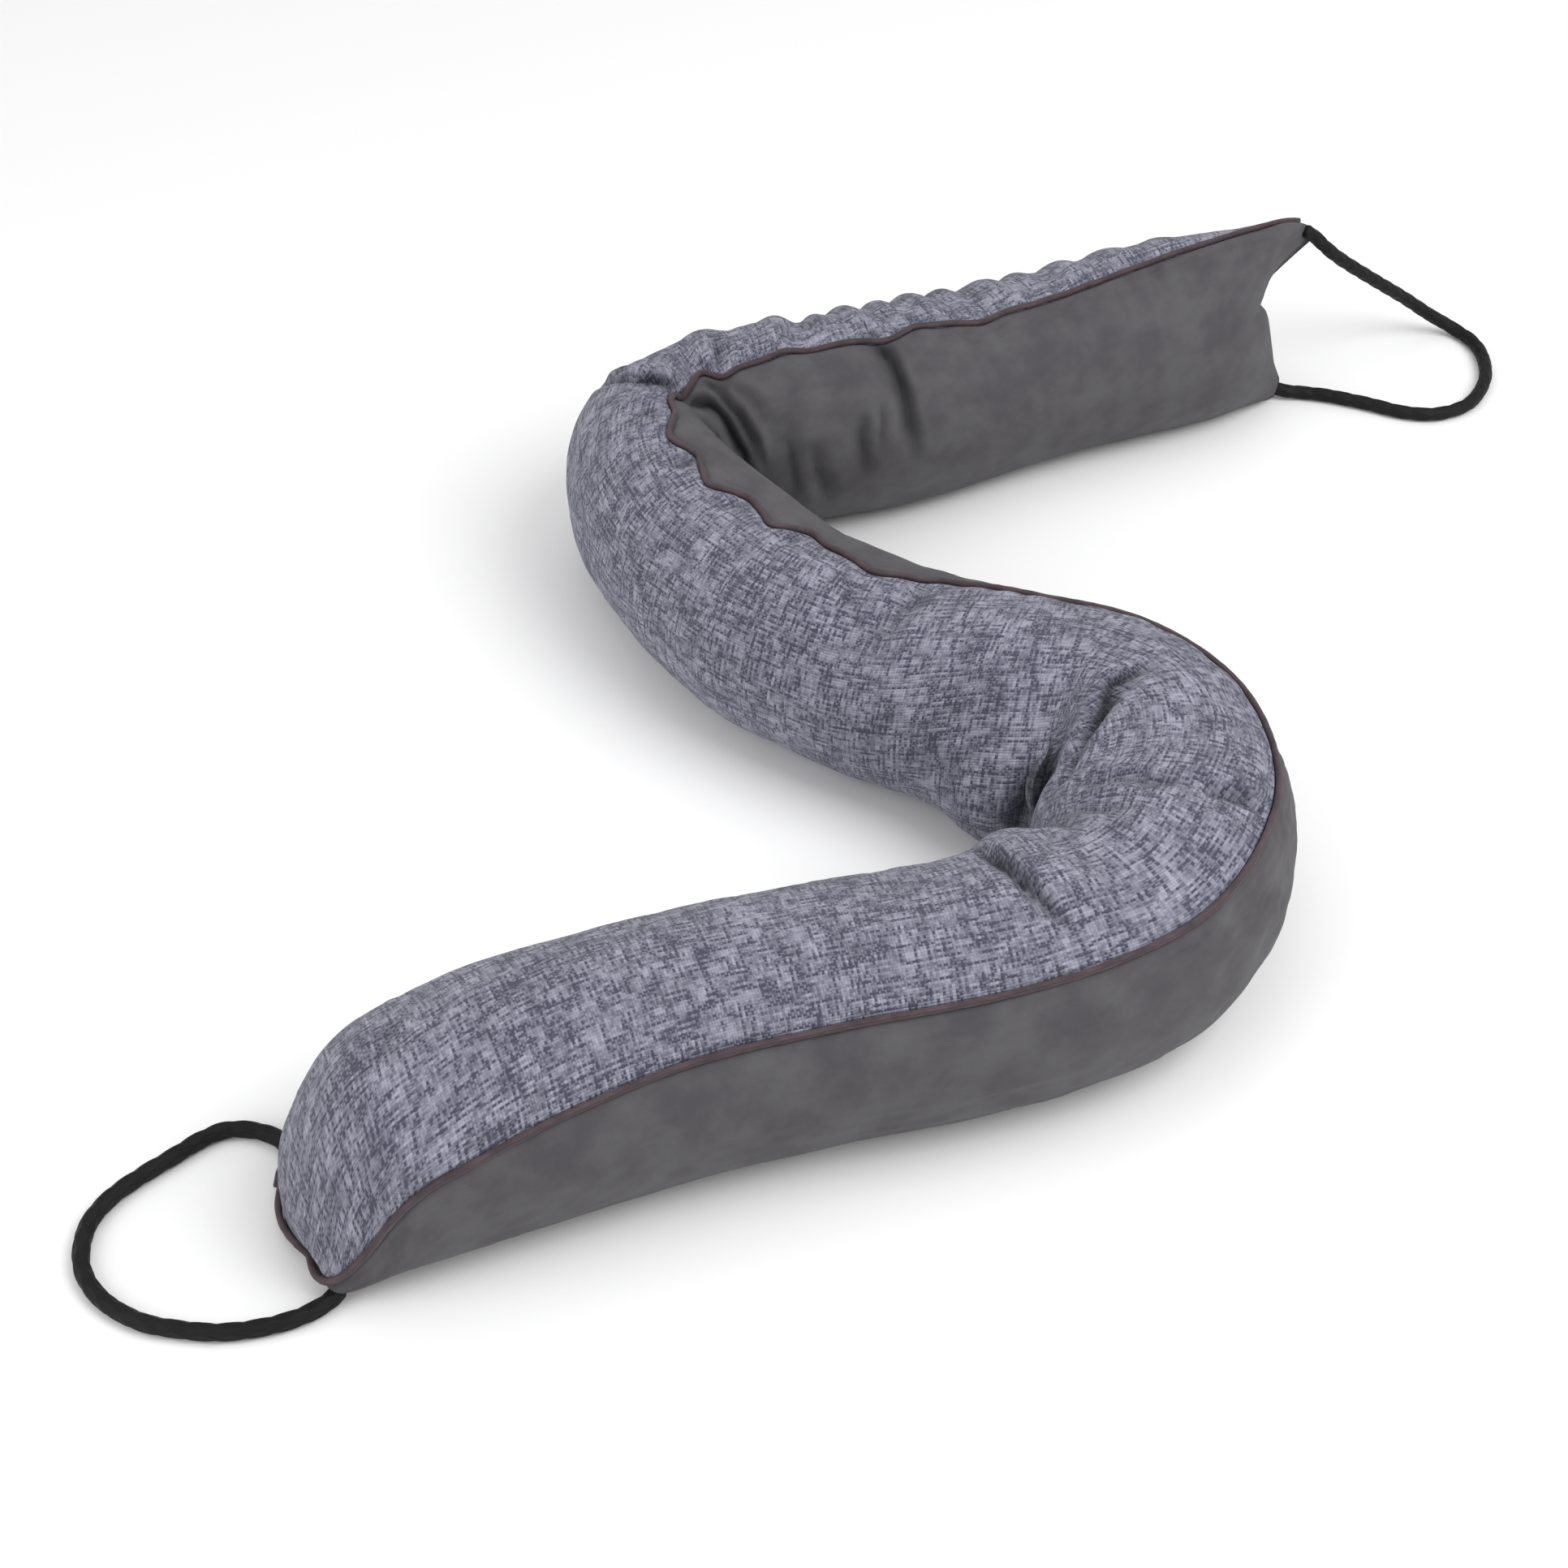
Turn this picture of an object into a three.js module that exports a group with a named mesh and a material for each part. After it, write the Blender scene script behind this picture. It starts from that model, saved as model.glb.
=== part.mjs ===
// A stuffed draught excluder: a long cloth tube laid in three runs with two bends,
// its patterned and plain panels sewn along both sides with piping, and an elastic loop at each end.
// Millimetres and degrees. It lies on z = 0, with the patterned panel above.
import * as THREE from "three";

const seatGap = 0.3;
const pipingRadius = 1.4;
const pipingInset = 2.7; // from the seam corner of the panels out to the middle of the piping
const endInset = 2.1; // the same round the left end
const cornerInset = 1; // added round its corners
const valleyReach = 8; // across each panel, from the seam to where the cloth is full again
const floorFlat = 3.8; // how far the free roundness would reach below the floor
const seamThickness = 3.2; // of the flat end seams
const cornerRadius = 6;
const floorClearance = 0.2; // under the piping
const cordDiameter = 6;
const cordSides = 10;
const cordStep = 2; // diameters along the loops
const pipingSides = 6;
const stationStep = 7.5;
const endSteps = [0, 0.5, 1.5, 3, 5, 8.5, 13];
const acrossPanel = 14;
const seamFaceTurns = [30, 60, 90, 120, 150].map(THREE.MathUtils.degToRad);
const pipingEndTurns = [8, 20, 40, 65, 90, 115, 140, 160, 172].map(THREE.MathUtils.degToRad);
const pipingShort = 2; // sections left without piping, at the right end

// One row for each bend or change of section, in order along the tube.
// at: along the tube; x, y: middle of the section; half: half its width; high: its height;
// seam: the angle of the leading seam, up from the right-hand side of the way along.
const stations = [
  { at: 0, x: -186, y: -241, half: 38, high: 50, seam: 6 },
  { at: 21, x: -168, y: -236, half: 40, high: 73, seam: 14 },
  { at: 45, x: -147, y: -229, half: 43, high: 79, seam: 25.5 },
  { at: 80, x: -115, y: -215, half: 45, high: 83, seam: 34 },
  { at: 127, x: -71, y: -197, half: 45, high: 83, seam: 40 },
  { at: 179, x: -22, y: -182, half: 45, high: 83, seam: 41 },
  { at: 230, x: 28, y: -170, half: 45, high: 83, seam: 42 },
  { at: 265, x: 61, y: -159, half: 44, high: 83, seam: 43 },
  { at: 296, x: 87, y: -143, half: 44, high: 83, seam: 44 },
  { at: 329, x: 103, y: -117, half: 45, high: 83, seam: 43 },
  { at: 362, x: 109, y: -85, half: 44, high: 83, seam: 35 },
  { at: 393, x: 105, y: -55, half: 43, high: 83, seam: 37 },
  { at: 420, x: 87, y: -35, half: 43, high: 83, seam: 45 },
  { at: 451, x: 56, y: -24, half: 43, high: 83, seam: 54 },
  { at: 498, x: 13, y: -5, half: 42, high: 83, seam: 76 },
  { at: 543, x: -25, y: 19, half: 41, high: 83, seam: 80 },
  { at: 580, x: -50, y: 47, half: 41, high: 83, seam: 83 },
  { at: 613, x: -68, y: 72, half: 39, high: 83, seam: 84 },
  { at: 649, x: -84, y: 104, half: 35, high: 83, seam: 76 },
  { at: 675, x: -89, y: 131, half: 30, high: 82, seam: 60 },
  { at: 699, x: -74, y: 149, half: 32, high: 80, seam: 65 },
  { at: 728, x: -50, y: 158, half: 39, high: 80, seam: 73 },
  { at: 771, x: -14, y: 165, half: 42, high: 82, seam: 79 },
  { at: 808, x: 19, y: 178, half: 42, high: 82, seam: 78 },
  { at: 870, x: 73, y: 206, half: 41, high: 77, seam: 79 },
  { at: 931, x: 129, y: 229, half: 41, high: 78, seam: 90 },
  { at: 968, x: 160, y: 238, half: 41, high: 80, seam: 100 },
  { at: 993, x: 180, y: 245, half: 40, high: 81, seam: 109 },
];
const tubeLength = stations.at(-1).at;

// The sewn ends. fill: the length over which the tube fills out, more squarely with a higher power;
// chord: half the end seam; settle: the length over which the seams' mid-height climbs from rise, its
// height at the end; ear: how far the corners reach past the last station; notch: where between them the
// end seam lies deepest, from -1 to 1; bow and lowBow: the powers by which it curves from there to the
// first and the second corner; belly: how far it bulges between them; lean: first corner over second;
// overhang: how far the cloth bulges out over the end seam.
const ends = {
  left: {
    way: -1, fill: 41, power: 2.5, settle: 45, chord: 27, rise: 5,
    ear: 1.5, notch: 0, bow: 2, lowBow: 2, belly: 7, lean: -3, overhang: 9,
  },
  right: {
    way: 1, fill: 62, power: 2, settle: 30, chord: 40, rise: 38.5,
    ear: 21, notch: 0.2, bow: 1.1, lowBow: 0.5, belly: -7, lean: 10.5, overhang: 0,
  },
};

// Folds pulled in by the bends. at and turn: middle of the fold, along and round from the leading seam;
// slant: mm along for each degree round; span: degrees round; width: mm; depth: mm, under zero for a ridge.
const folds = [
  { at: 251, turn: 55, slant: -0.14, span: 30, width: 7, depth: 4 },
  { at: 264, turn: 58, slant: -0.14, span: 26, width: 9, depth: -1.5 },
  { at: 263, turn: 112, slant: 0, span: 34, width: 15, depth: -5.5 },
  { at: 385, turn: 84, slant: -0.6, span: 28, width: 7, depth: 4 },
  { at: 402, turn: 84, slant: -0.6, span: 28, width: 9, depth: -1.5 },
  { at: 336, turn: 26, slant: -0.1, span: 20, width: 7, depth: 3 },
  { at: 492, turn: 22, slant: 0.1, span: 26, width: 14, depth: 4 },
  { at: 680, turn: 14, slant: -0.5, span: 16, width: 6, depth: 5 },
  { at: 792, turn: -36, slant: -0.06, span: 34, width: 6, depth: 4 },
  { at: 770, turn: -62, slant: 0.1, span: 24, width: 8, depth: 3 },
  { at: 760, turn: 20, slant: 0, span: 20, width: 9, depth: 3 },
  { at: 841, turn: 20, slant: 0.1, span: 20, width: 9, depth: 3 },
  { at: 430, turn: 160, slant: 0, span: 55, width: 26, depth: -9 },
  { at: 451, turn: 165, slant: 0, span: 40, width: 12, depth: -4 },
  { at: 716, turn: 45, slant: 0, span: 38, width: 8, depth: -2 },
  { at: 752, turn: 45, slant: 0, span: 38, width: 9, depth: -3 },
];

// The loops' routes, from one corner of the end seam to the other.
const leftLoopRoute = [
  [-200, -212, 3.2], [-201.5, -206.5, 3.1], [-205.5, -202.3, 3.1], [-212, -200.6, 3.1], [-219, -201.5, 3.1],
  [-226, -205, 3.1], [-235, -213, 3.1], [-245, -222, 3.1], [-253, -231, 3.1], [-258, -242, 3.1],
  [-258, -255, 3.1], [-254, -265, 3.1], [-246, -274, 3.1], [-234, -281, 3.1], [-221, -284, 3.1],
  [-208, -285, 3.1], [-195, -283, 3.1], [-184, -279, 3.1], [-176, -273.5, 3.1],
];
const rightLoopRoute = [
  [208, 263, 65.3], [211, 263.4, 62.5], [216, 264.8, 57.5], [223, 268, 51], [238, 275, 38], [255, 284, 23],
  [269, 289, 11], [281, 288, 4], [289, 277, 3.1], [291, 262, 3.1], [288, 245, 3.1], [278, 228, 3.1],
  [263, 220, 3.1], [248, 221, 3.1], [232, 228, 3.1], [216, 234, 3.1], [206, 236.2, 3.2], [201, 236.7, 3.4],
];

const tweed = new THREE.MeshStandardMaterial({ color: 0x8a8a9c, roughness: 0.95, metalness: 0 });
const charcoal = new THREE.MeshStandardMaterial({ color: 0x5a5a5f, roughness: 0.9, metalness: 0 });
const maroon = new THREE.MeshStandardMaterial({ color: 0x5f4a4e, roughness: 0.8, metalness: 0 });
const black = new THREE.MeshStandardMaterial({ color: 0x1f1c1b, roughness: 0.7, metalness: 0 });

// One column of the stations, by a cubic through the rows.
function column(name, at) {
  const last = stations.length - 1;
  let row = stations.findIndex((s) => s.at > at) - 1;
  if (row < 0) row = last - 1;
  const slope = (i) => {
    const before = stations[Math.max(i - 1, 0)];
    const after = stations[Math.min(i + 1, last)];
    return (after[name] - before[name]) / (after.at - before.at);
  };
  const [a, b] = [stations[row], stations[row + 1]];
  const run = b.at - a.at;
  const u = (at - a.at) / run;
  const [u2, u3] = [u * u, u * u * u];
  return (
    (2 * u3 - 3 * u2 + 1) * a[name] +
    (u3 - 2 * u2 + u) * run * slope(row) +
    (3 * u2 - 2 * u3) * b[name] +
    (u3 - u2) * run * slope(row + 1)
  );
}

// The frame and sizes of the section at a distance along the tube.
function sectionAt(at) {
  const before = Math.max(at - 1, 0);
  const after = Math.min(at + 1, tubeLength);
  const along = new THREE.Vector3(
    column("x", after) - column("x", before), column("y", after) - column("y", before), 0,
  ).normalize();
  const end = at < tubeLength / 2 ? ends.left : ends.right;
  const inset = Math.min(at, tubeLength - at);
  const shut = Math.max(0, 1 - inset / end.fill);
  const fill = (1 - shut ** end.power) ** (1 / end.power);
  const settled = THREE.MathUtils.smoothstep(inset, 0, end.settle);
  const corner = Math.max(0, cornerRadius - inset);
  const rounding = cornerRadius - Math.sqrt(cornerRadius ** 2 - corner ** 2);
  const high = column("high", at);
  return {
    at, along, end, fill, settled, high,
    middle: new THREE.Vector3(column("x", at), column("y", at), 0),
    right: new THREE.Vector3(along.y, -along.x, 0),
    seam: THREE.MathUtils.degToRad(column("seam", at)),
    half: column("half", at),
    level: ((high - floorFlat) / 2) * settled + end.rise * (1 - settled),
    chord: end.chord - rounding,
  };
}

// How far the folds draw the cloth in at one place, turn degrees round from the leading seam.
function foldDepth(at, turn) {
  let depth = 0;
  for (const fold of folds) {
    const round = THREE.MathUtils.euclideanModulo(turn - fold.turn + 180, 360) - 180;
    const off = (at - fold.at - fold.slant * round) / fold.width;
    depth += fold.depth * Math.exp(-off * off - (round / fold.span) ** 4);
  }
  return depth;
}

// A point on the tube: turn in radians round its section from the leading seam.
function outline(section, turn) {
  const { seam, half, high, level, end, fill, settled, chord } = section;
  const around = seam + turn;
  const flat = 1 - fill;
  const flatUp = (seamThickness / 2) * Math.sin(turn);
  const flatOut = chord * Math.cos(turn);
  const inward = foldDepth(section.at, THREE.MathUtils.radToDeg(turn)) * fill;
  const reach = Math.sin(around) > 0 ? high - level : level + floorFlat * settled;
  const across = (half - inward) * Math.cos(around) * fill
    + (flatOut * Math.cos(seam) - flatUp * Math.sin(seam)) * flat;
  const up = (reach - inward) * Math.sin(around) * fill
    + (flatOut * Math.sin(seam) + flatUp * Math.cos(seam)) * flat;
  const past = end.way * (endBow(end, turn) + end.lean * Math.cos(turn)) * flat;
  const over = end.way * end.overhang * fill * (1 - settled) * Math.max(0, Math.sin(turn));
  return new THREE.Vector3()
    .copy(section.middle)
    .addScaledVector(section.right, across)
    .addScaledVector(section.along, past + over)
    .setZ(Math.max(level + up, 0));
}

// How far an end seam reaches past the last station, apart from its lean.
function endBow(end, turn) {
  const off = Math.cos(turn) - end.notch;
  const first = Math.max(0, off / (1 - end.notch)) ** end.bow;
  const second = Math.max(0, -off / (1 + end.notch)) ** end.lowBow;
  return end.ear * (first + second) + end.belly * Math.sin(turn) ** 2;
}

// The unit vectors of a seam: out of the tube, and square to the seam on the patterned side.
function seamFrame(section, turn) {
  const angle = section.seam + turn;
  const out = new THREE.Vector3(0, 0, Math.sin(angle)).addScaledVector(section.right, Math.cos(angle));
  const over = new THREE.Vector3(0, 0, Math.cos(section.seam))
    .addScaledVector(section.right, -Math.sin(section.seam));
  return { out, over };
}

// Where the two panels meet, set in far enough to seat the piping clear of them and of the floor.
function seamPoint(section, turn) {
  const { out } = seamFrame(section, turn);
  const point = outline(section, turn).addScaledVector(out, -pipingInset);
  const lowest = pipingRadius + pipingInset + floorClearance;
  const down = Math.min(1, 2 * Math.max(0, -out.z));
  point.z += down * Math.max(0, lowest - point.z);
  return point.setZ(Math.max(point.z, pipingRadius + floorClearance / 2));
}

function stationList() {
  const last = endSteps.at(-1);
  const between = Math.round((tubeLength - 2 * last) / stationStep);
  const middle = [];
  for (let i = 1; i < between; i++) middle.push(last + ((tubeLength - 2 * last) * i) / between);
  return [...endSteps, ...middle, ...endSteps.map((d) => tubeLength - d).reverse()];
}

// A point of the face between the panels, level with one turn.
function middlePoint(section, turn) {
  const { end, fill, along } = section;
  const drawnIn = end.way * (endBow(end, turn) - end.ear) * (1 - fill);
  return seamPoint(section, 0)
    .lerp(seamPoint(section, Math.PI), (1 - Math.cos(turn)) / 2)
    .addScaledVector(along, drawnIn);
}

// One panel filled to the face between its seams: side is 1 for the patterned panel, -1 for the plain one.
function panelGeometry(side) {
  const outerTurns = [];
  const rings = stationList().map((at) => {
    const section = sectionAt(at);
    const offset = seamFrame(section, 0).over.multiplyScalar((side * seatGap) / 2);
    const valley = valleyReach / section.half;
    const outer = [];
    for (let i = 0; i < acrossPanel - 1; i++) {
      const turn = valley + ((Math.PI - 2 * valley) * i) / (acrossPanel - 2);
      outer.push(outline(section, side > 0 ? turn : 2 * Math.PI - turn));
      outerTurns[i] = turn;
    }
    const inner = seamFaceTurns.map((turn) => middlePoint(section, turn).add(offset)).reverse();
    const [first, last] = [0, Math.PI].map((turn) => seamPoint(section, turn).add(offset));
    return [first, ...outer, last, ...inner];
  });
  return skin(rings, outerTurns, side > 0);
}

// The triangles of a flat end: the outer edge of a panel's ring laced to its seam face.
function endFaces(outerTurns) {
  const lastOuter = outerTurns.length + 1;
  const ringSize = lastOuter + 1 + seamFaceTurns.length;
  const outer = [0, ...outerTurns, Math.PI];
  const inner = [0, ...seamFaceTurns, Math.PI];
  const innerIndex = (k) => (k === 0 ? 0 : ringSize - k);
  const faces = [];
  let [i, k] = [0, 0];
  while (i < lastOuter || k < inner.length - 1) {
    const outerNext = i < lastOuter ? outer[i + 1] : Infinity;
    const innerNext = k < inner.length - 1 ? inner[k + 1] : Infinity;
    const from = k === inner.length - 1 ? lastOuter : innerIndex(k);
    if (outerNext <= innerNext) {
      faces.push([from, i, i + 1]);
      i += 1;
    } else {
      const to = k + 1 === inner.length - 1 ? lastOuter : innerIndex(k + 1);
      faces.push([from, i, to]);
      k += 1;
    }
  }
  return faces.filter(([a, b, c]) => a !== b && b !== c && a !== c);
}

// A closed skin over a panel's rings; turned says which way round the rings run.
function skin(rings, outerTurns, turned) {
  const count = rings[0].length;
  const position = rings.flat().flatMap((p) => [p.x, p.y, p.z]);
  const index = [];
  const face = (a, b, c) => index.push(...(turned ? [a, b, c] : [a, c, b]));
  for (let i = 0; i + 1 < rings.length; i++) {
    for (let j = 0; j < count; j++) {
      const next = (j + 1) % count;
      const [a, b] = [i * count + j, i * count + next];
      const [c, d] = [a + count, b + count];
      face(a, c, b);
      face(b, c, d);
    }
  }
  const top = (rings.length - 1) * count;
  for (const [a, b, c] of endFaces(outerTurns)) {
    face(a, b, c);
    face(top + a, top + c, top + b);
  }
  const geometry = new THREE.BufferGeometry();
  geometry.setAttribute("position", new THREE.Float32BufferAttribute(position, 3));
  geometry.setIndex(index);
  geometry.computeVertexNormals();
  return geometry;
}

// The middle line of the piping, with its direction over the seam: from the right end back along the
// leading seam, round the left end and along the other seam.
function pipingRoute() {
  const piped = stationList().map(sectionAt).slice(0, -pipingShort);
  const first = piped[0];
  const onSeam = (section, turn) => ({
    point: seamPoint(section, turn),
    over: seamFrame(section, 0).over,
    inset: pipingInset + cornerInset * (1 - section.fill) ** 2,
  });
  const onEnd = (turn) => ({
    point: middlePoint(first, turn),
    over: seamFrame(first, 0).over,
    inset: endInset + cornerInset * Math.cos(turn) ** 4,
  });
  const route = [
    ...[...piped].reverse().map((section) => onSeam(section, 0)),
    ...pipingEndTurns.map(onEnd),
    ...piped.map((section) => onSeam(section, Math.PI)),
  ];
  return route.map(({ point, over, inset }, i) => {
    const after = route[Math.min(i + 1, route.length - 1)].point;
    const before = route[Math.max(i - 1, 0)].point;
    const out = over.clone().cross(after.clone().sub(before)).normalize();
    const middle = point.clone().addScaledVector(out, inset);
    return { middle: middle.setZ(Math.max(middle.z, pipingRadius + floorClearance / 2)), over };
  });
}

// A round cord through a list of middles, each with its own direction over the seam, shut at both ends.
function trimGeometry(route, radius, sides) {
  const last = route.length - 1;
  const position = [];
  const index = [];
  route.forEach(({ middle, over }, i) => {
    const [after, before] = [route[Math.min(i + 1, last)].middle, route[Math.max(i - 1, 0)].middle];
    const tangent = after.clone().sub(before).normalize();
    const side = over.clone().cross(tangent).normalize();
    const up = tangent.clone().cross(side);
    for (let k = 0; k < sides; k++) {
      const angle = (2 * Math.PI * k) / sides;
      const point = middle.clone()
        .addScaledVector(side, radius * Math.cos(angle))
        .addScaledVector(up, radius * Math.sin(angle));
      position.push(point.x, point.y, point.z);
      if (i === last) continue;
      const [a, b] = [i * sides + k, i * sides + ((k + 1) % sides)];
      index.push(a, b, a + sides, b, b + sides, a + sides);
    }
  });
  for (let k = 1; k < sides - 1; k++) {
    index.push(0, k + 1, k);
    index.push(last * sides, last * sides + k, last * sides + k + 1);
  }
  const geometry = new THREE.BufferGeometry();
  geometry.setAttribute("position", new THREE.Float32BufferAttribute(position, 3));
  geometry.setIndex(index);
  geometry.computeVertexNormals();
  return geometry;
}

// A loop of elastic: a round section drawn along its route.
function loopGeometry(route) {
  const curve = new THREE.CatmullRomCurve3(route.map((p) => new THREE.Vector3(...p)));
  const section = new THREE.Shape();
  for (let k = 0; k < cordSides; k++) {
    const angle = (2 * Math.PI * k) / cordSides;
    const [x, y] = [(cordDiameter / 2) * Math.cos(angle), (cordDiameter / 2) * Math.sin(angle)];
    if (k === 0) section.moveTo(x, y);
    else section.lineTo(x, y);
  }
  const steps = Math.round(curve.getLength() / (cordDiameter * cordStep));
  return new THREE.ExtrudeGeometry(section, { steps, bevelEnabled: false, extrudePath: curve });
}

function piece(name, geometry, material) {
  const mesh = new THREE.Mesh(geometry, material);
  mesh.name = name;
  return mesh;
}

const excluder = new THREE.Group();
excluder.name = "draught_excluder";
excluder.add(piece("patterned_panel", panelGeometry(1), tweed));
excluder.add(piece("plain_panel", panelGeometry(-1), charcoal));
excluder.add(piece("seam_piping", trimGeometry(pipingRoute(), pipingRadius, pipingSides), maroon));
excluder.add(piece("left_loop", loopGeometry(leftLoopRoute), black));
excluder.add(piece("right_loop", loopGeometry(rightLoopRoute), black));

export default excluder;
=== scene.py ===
# A stuffed draught excluder that lies in a zigzag: a patterned and a plain cloth panel, sewn together
# along both sides with piping, and a loop of black elastic at each end.
# Blender works in metres; the tables here are in millimetres and degrees, as a maker would measure them.
import math

import bmesh
import bpy
import numpy as np
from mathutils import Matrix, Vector


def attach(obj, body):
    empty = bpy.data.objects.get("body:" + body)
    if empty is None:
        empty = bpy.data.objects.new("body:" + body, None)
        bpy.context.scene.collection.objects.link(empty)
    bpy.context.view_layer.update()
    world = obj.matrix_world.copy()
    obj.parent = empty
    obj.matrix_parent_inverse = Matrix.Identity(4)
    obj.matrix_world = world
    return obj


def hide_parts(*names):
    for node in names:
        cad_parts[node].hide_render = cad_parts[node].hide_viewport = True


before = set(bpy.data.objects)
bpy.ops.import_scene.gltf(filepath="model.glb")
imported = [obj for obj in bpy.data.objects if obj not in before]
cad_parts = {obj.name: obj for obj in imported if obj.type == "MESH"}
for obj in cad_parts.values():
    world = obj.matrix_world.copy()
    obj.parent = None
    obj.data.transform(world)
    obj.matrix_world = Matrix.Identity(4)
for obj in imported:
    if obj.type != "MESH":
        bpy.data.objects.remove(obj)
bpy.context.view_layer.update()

mm = 0.001
offFloor = 0.02  # mm, the least height of a cord's underside

# The filled tube. One row for each bend or change of section, in order along it.
# at: along the tube; x, y: middle of the section; half: half its width; high: its height;
# seam: the angle of the leading seam, up from the right-hand side of the way along.
stationColumns = ("at", "x", "y", "half", "high", "seam")
stations = [
    (0, -186, -241, 38, 50, 6),
    (21, -168, -236, 40, 73, 14),
    (45, -147, -229, 43, 79, 25.5),
    (80, -115, -215, 45, 83, 34),
    (127, -71, -197, 45, 83, 40),
    (179, -22, -182, 45, 83, 41),
    (230, 28, -170, 45, 83, 42),
    (265, 61, -159, 44, 83, 43),
    (296, 87, -143, 44, 83, 44),
    (329, 103, -117, 45, 83, 43),
    (362, 109, -85, 44, 83, 35),
    (393, 105, -55, 43, 83, 37),
    (420, 87, -35, 43, 83, 45),
    (451, 56, -24, 43, 83, 54),
    (498, 13, -5, 42, 83, 76),
    (543, -25, 19, 41, 83, 80),
    (580, -50, 47, 41, 83, 83),
    (613, -68, 72, 39, 83, 84),
    (649, -84, 104, 35, 83, 76),
    (675, -89, 131, 30, 82, 60),
    (699, -74, 149, 32, 80, 65),
    (728, -50, 158, 39, 80, 73),
    (771, -14, 165, 42, 82, 79),
    (808, 19, 178, 42, 81, 78),
    (870, 73, 206, 41, 75, 80),
    (931, 129, 229, 41, 76.5, 91),
    (968, 160, 238, 41, 80, 100),
    (993, 180, 245, 40, 81, 109),
]
tube = {
    "length": stations[-1][0],
    "floorFlat": 3.8,  # how far the free roundness would reach below the floor
    "seamThickness": 3.2,  # of the flat end seams
    "cornerRadius": 6,
    "step": 1.45,  # between rows of the cloth mesh
    "columns": 98,  # of the cloth mesh, across one panel
    "bunched": 0.6,  # how much closer together they lie near the seams
    "innerTurns": (168, 12, 14),  # columns of the face between the panels: first, last and how many
    "evenOver": 12,  # along the tube, to lay the cloth flat
    "endSteps": (0, 0.3, 0.7, 1.2, 1.9, 2.8, 4, 5.5, 7.3, 9.3, 11.4),
}

# The sewn ends. fill: the length over which the tube fills out, more squarely with a higher power;
# chord: half the end seam;
# settle: the length over which the seams' mid-height climbs from rise, its height at the end;
# ear: how far the corners reach past the middle of the end seam; lean: first corner over second;
# notch: where between the corners the end seam lies deepest, from -1 to 1; bow and lowBow: the powers by
# which it curves from there to the first and the second corner; belly: how far it bulges between them;
# overhang: how far the cloth above bulges out over the end seam.
leftEnd = {
    "way": -1, "fill": 41, "power": 2.5, "settle": 45, "chord": 27, "rise": 5,
    "ear": 1.5, "notch": 0, "bow": 2, "lowBow": 2, "belly": 7, "lean": -3, "overhang": 9,
}
rightEnd = {
    "way": 1, "fill": 62, "power": 2.0, "settle": 30, "chord": 40, "rise": 38.5,
    "ear": 21, "notch": 0.2, "bow": 1.1, "lowBow": 0.4, "belly": -7, "lean": 10.5, "overhang": 0,
}

# The broad folds that the bends pull in. at and turn: middle of the fold, along and round from the leading
# seam; slant: mm along for each degree round; span: degrees round; width and depth: mm, a ridge under zero.
foldColumns = ("at", "turn", "slant", "span", "width", "depth")
folds = [
    (250, 55, -0.14, 30, 5, 1.5),
    (264, 58, -0.14, 26, 9, -1.5),
    (263, 112, 0, 34, 15, -5.5),
    (386, 84, -0.6, 28, 7, 2),
    (402, 84, -0.6, 28, 9, -1.5),
    (336, 26, -0.1, 20, 7, 3),
    (492, 22, 0.1, 26, 14, 3),
    (680, 14, -0.5, 16, 6, 5),
    (792, -36, -0.06, 34, 6, 4),
    (770, -62, 0.1, 24, 8, 3),
    (760, 20, 0, 20, 9, 3),
    (841, 20, 0.1, 20, 9, 3),
    (430, 160, 0, 55, 26, -9),
    (451, 165, 0, 40, 12, -4),
    (345, 125, 0, 35, 22, -5),
]

# The gathers along the far run's upper edge, each a ridge with a dip after it: at, width, height in mm.
ruffles = [
    (716, 8, 2.2), (752, 9, 3.0), (774, 5, 1.6), (790, 6, 2.2), (806, 5, 2.0), (824, 6, 2.4), (841, 5, 2.0),
    (862, 5, 2.0), (878, 6, 1.8), (898, 6, 1.6), (920, 7, 1.4), (943, 6, 1.0),
]
ruffleBand = {
    "turn": 45,  # middle of the band, degrees round from the leading seam
    "span": 38,
    "dip": 0.8,  # of the ridge's height
    "dipAfter": 1.5,  # widths beyond the ridge
}

# Where the leading seam is pulled out of its even line: at, width in mm, degrees.
scallops = [
    (486, 6, -5), (511, 9, 7), (546, 8, -7), (560, 6, 5), (578, 6, -3), (596, 8, 6), (617, 6, -4),
    (633, 7, 5), (652, 7, -5), (690, 6, -3), (705, 7, 5), (717, 6, -4), (752, 8, 3), (796, 7, -3),
    (812, 7, 3), (842, 8, -3),
]


def column(name, at):
    # one column of the stations, by a cubic through the rows
    rows = np.array(stations, float)
    place, values = rows[:, 0], rows[:, stationColumns.index(name)]
    last = len(rows) - 1
    index = np.arange(last + 1)
    after, before = np.minimum(index + 1, last), np.maximum(index - 1, 0)
    slope = (values[after] - values[before]) / (place[after] - place[before])
    row = np.clip(np.searchsorted(place, at, side="right") - 1, 0, last - 1)
    run = place[row + 1] - place[row]
    u = (at - place[row]) / run
    return (
        (2 * u**3 - 3 * u**2 + 1) * values[row]
        + (u**3 - 2 * u**2 + u) * run * slope[row]
        + (3 * u**2 - 2 * u**3) * values[row + 1]
        + (u**3 - u**2) * run * slope[row + 1]
    )


def smooth(x):
    x = np.clip(x, 0, 1)
    return x * x * (3 - 2 * x)


def unit(vectors):
    return vectors / np.linalg.norm(vectors, axis=1, keepdims=True)


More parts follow.
